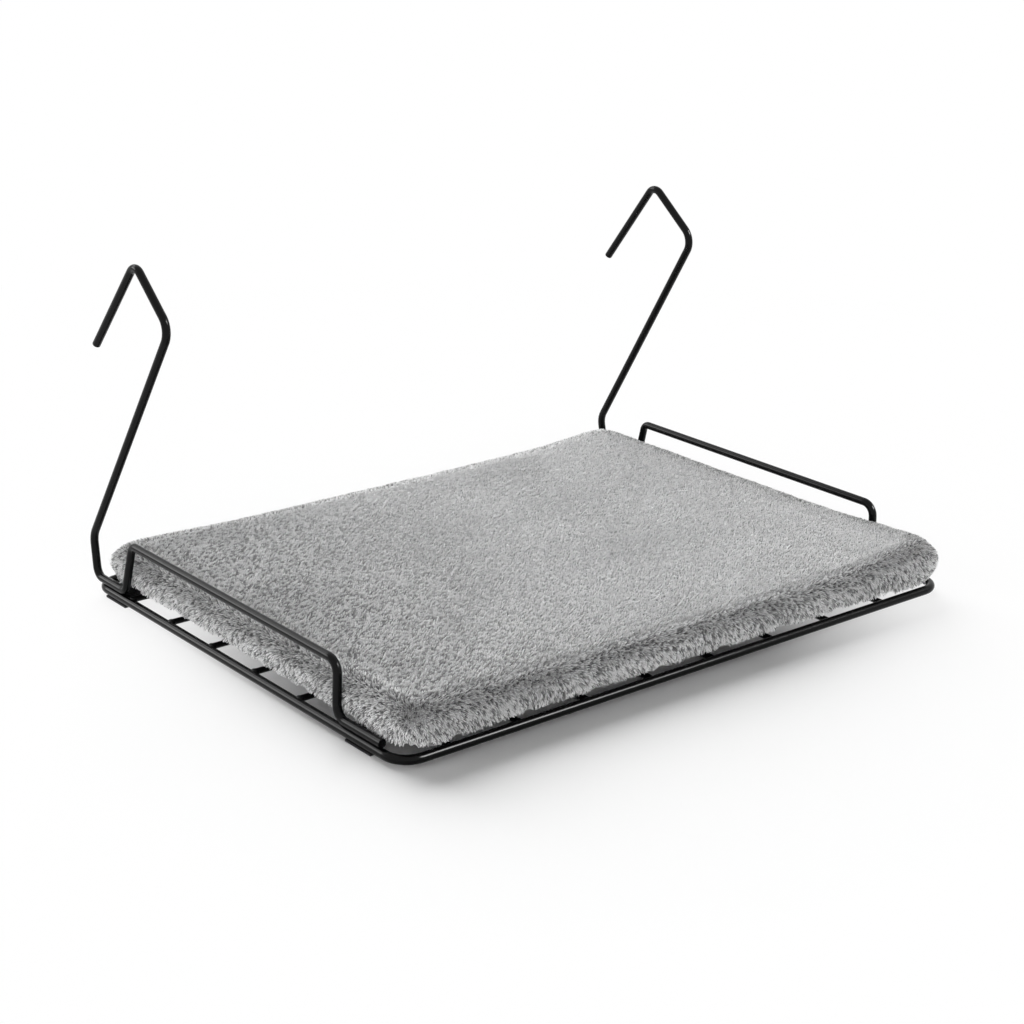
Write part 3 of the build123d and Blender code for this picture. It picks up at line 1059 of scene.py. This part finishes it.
class CATBED_OT_foam(bpy.types.Operator):
    """Makes the foam core that fills the cover"""

    bl_idname = "catbed.foam"
    bl_label = "Foam core"

    def execute(self, context):
        foam = copy_of_node("foam_core", "cushion_foam_core")
        remesh = foam.modifiers.new("even_mesh", "REMESH")
        remesh.mode = "VOXEL"
        remesh.voxel_size = FOAM_VOXEL
        ease = foam.modifiers.new("ease", "SMOOTH")
        ease.factor = 0.5
        ease.iterations = 3
        apply_modifiers(foam)
        points = points_of(foam.data)
        middle = points.mean(axis=0)
        set_points(foam.data, middle + (points - middle) * np.array(FOAM_SHARE))
        bpy.ops.object.shade_smooth()
        foam.data.materials.append(open_cell_foam())
        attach(foam, "cushion")
        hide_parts("cushion_foam_core")
        return {"FINISHED"}


CLOTH_THICKNESS = 0.8 * MM
CLOTH_CORNER = 12 * MM
HEM = 3 * MM
SEAM_INSET = 4 * MM
SEAM_RADIUS = 9 * MM
SEAM_DROP = 0.05 * MM
THREAD = 0.7 * MM


def seam_places(low, high, inset, radius, pitch):
    """Places along a rounded rectangle, a pitch apart, each with the heading of the seam there."""
    left, right = low.x + inset, high.x - inset
    front, rear = low.y + inset, high.y - inset
    places = []
    straights = [((left + radius, front), (right - radius, front), 0),
                 ((right, front + radius), (right, rear - radius), 90),
                 ((right - radius, rear), (left + radius, rear), 180),
                 ((left, rear - radius), (left, front + radius), 270)]
    for (x0, y0), (x1, y1), heading in straights:
        run = abs(x1 - x0) + abs(y1 - y0)
        count = max(2, round(run / pitch))
        for number in range(count):
            share = (number + 0.5) / count
            places.append((x0 + (x1 - x0) * share, y0 + (y1 - y0) * share, heading))
        centre_x = x1 + radius * (cos(radians(heading + 90)))
        centre_y = y1 + radius * (sin(radians(heading + 90)))
        turns = max(2, round(radius * pi / 2 / pitch))
        for number in range(turns):
            angle = heading - 90 + 90 * (number + 0.5) / turns
            places.append((centre_x + radius * cos(radians(angle)),
                           centre_y + radius * sin(radians(angle)), angle + 90))
    return places


def model_stitch(length, thickness):
    """One stitch: a short thread that is thickest in the middle and dips into the cloth at its ends."""
    deselect_all()
    bpy.ops.mesh.primitive_cylinder_add(vertices=6, radius=thickness / 2, depth=length,
                                        location=(0, 0, 0), rotation=(0, pi / 2, 0))
    stitch = bpy.context.object
    settle_place(stitch)
    edit_all()
    bpy.ops.mesh.subdivide(number_cuts=2)
    stop_editing()
    points = points_of(stitch.data)
    share = np.abs(points[:, 0]) / (length / 2)
    points[:, 1] *= 1 - 0.35 * share ** 2
    points[:, 2] += thickness * 0.8 * share ** 2
    set_points(stitch.data, points)
    bpy.ops.object.shade_smooth()
    return stitch


class CATBED_OT_base(bpy.types.Operator):
    """Makes the woven base cloth and the seam that holds it to the cover"""

    bl_idname = "catbed.base"
    bl_label = "Base cloth"

    def execute(self, context):
        low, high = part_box("cushion_base_cloth")
        middle = (low + high) / 2
        deselect_all()
        bpy.ops.mesh.primitive_plane_add(size=1, location=(middle.x, middle.y, low.z))
        cloth = context.object
        cloth.name = "base_cloth"
        cloth.scale = (high.x - low.x, high.y - low.y, 1)
        settle_place(cloth)
        edit_all()
        bpy.ops.mesh.bevel(offset=CLOTH_CORNER, segments=6, affect="VERTICES")
        bpy.ops.mesh.inset(thickness=HEM)
        stop_editing()
        wall = cloth.modifiers.new("wall", "SOLIDIFY")
        wall.thickness = CLOTH_THICKNESS
        wall.offset = -1
        apply_modifiers(cloth)
        activate(cloth)
        edit_all()
        bpy.ops.mesh.normals_make_consistent(inside=False)
        stop_editing()
        cloth.data.materials.append(woven_base())

        pitch = sizes().stitch_pitch
        places = seam_places(low, high, SEAM_INSET, SEAM_RADIUS, pitch)
        matrices = [turned_to((x, y, low.z - SEAM_DROP), heading) for x, y, heading in places]
        seam = joined_copies("base_seam_stitches", model_stitch(0.8 * pitch, THREAD), matrices)
        seam.data.materials.append(thread_finish())
        for piece in (cloth, seam):
            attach(piece, "cushion")
        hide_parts("cushion_base_cloth")
        return {"FINISHED"}


class CATBED_PT_panel(bpy.types.Panel):
    """Lists the pieces of the cat bed"""

    bl_idname = "CATBED_PT_panel"
    bl_label = "Radiator cat bed"
    bl_space_type = "VIEW_3D"
    bl_region_type = "UI"
    bl_category = "Cat bed"

    def draw(self, context):
        for operator in OPERATORS:
            self.layout.operator(operator.bl_idname)
        for group in (context.scene.cat_bed_sizes, context.scene.cat_bed_colours):
            for name in group.__annotations__:
                self.layout.prop(group, name)


OPERATORS = (
    CATBED_OT_stage,
    CATBED_OT_rods,
    CATBED_OT_grid,
    CATBED_OT_clamps,
    CATBED_OT_fasteners,
    CATBED_OT_welds,
    CATBED_OT_cover,
    CATBED_OT_pile,
    CATBED_OT_foam,
    CATBED_OT_base,
)
CLASSES = (CatBedSizes, CatBedColours, *OPERATORS, CATBED_PT_panel)


def register():
    for item in CLASSES:
        bpy.utils.register_class(item)
    bpy.types.Scene.cat_bed_sizes = bpy.props.PointerProperty(type=CatBedSizes)
    bpy.types.Scene.cat_bed_colours = bpy.props.PointerProperty(type=CatBedColours)


def unregister():
    del bpy.types.Scene.cat_bed_colours
    del bpy.types.Scene.cat_bed_sizes
    for item in reversed(CLASSES):
        bpy.utils.unregister_class(item)


def main():
    register()
    bpy.ops.catbed.stage()
    bpy.ops.catbed.rods()
    bpy.ops.catbed.grid()
    bpy.ops.catbed.clamps()
    bpy.ops.catbed.fasteners()
    bpy.ops.catbed.welds()
    bpy.ops.catbed.cover()
    bpy.ops.catbed.pile()
    bpy.ops.catbed.foam()
    bpy.ops.catbed.base()


if __name__ == "__main__":
    main()
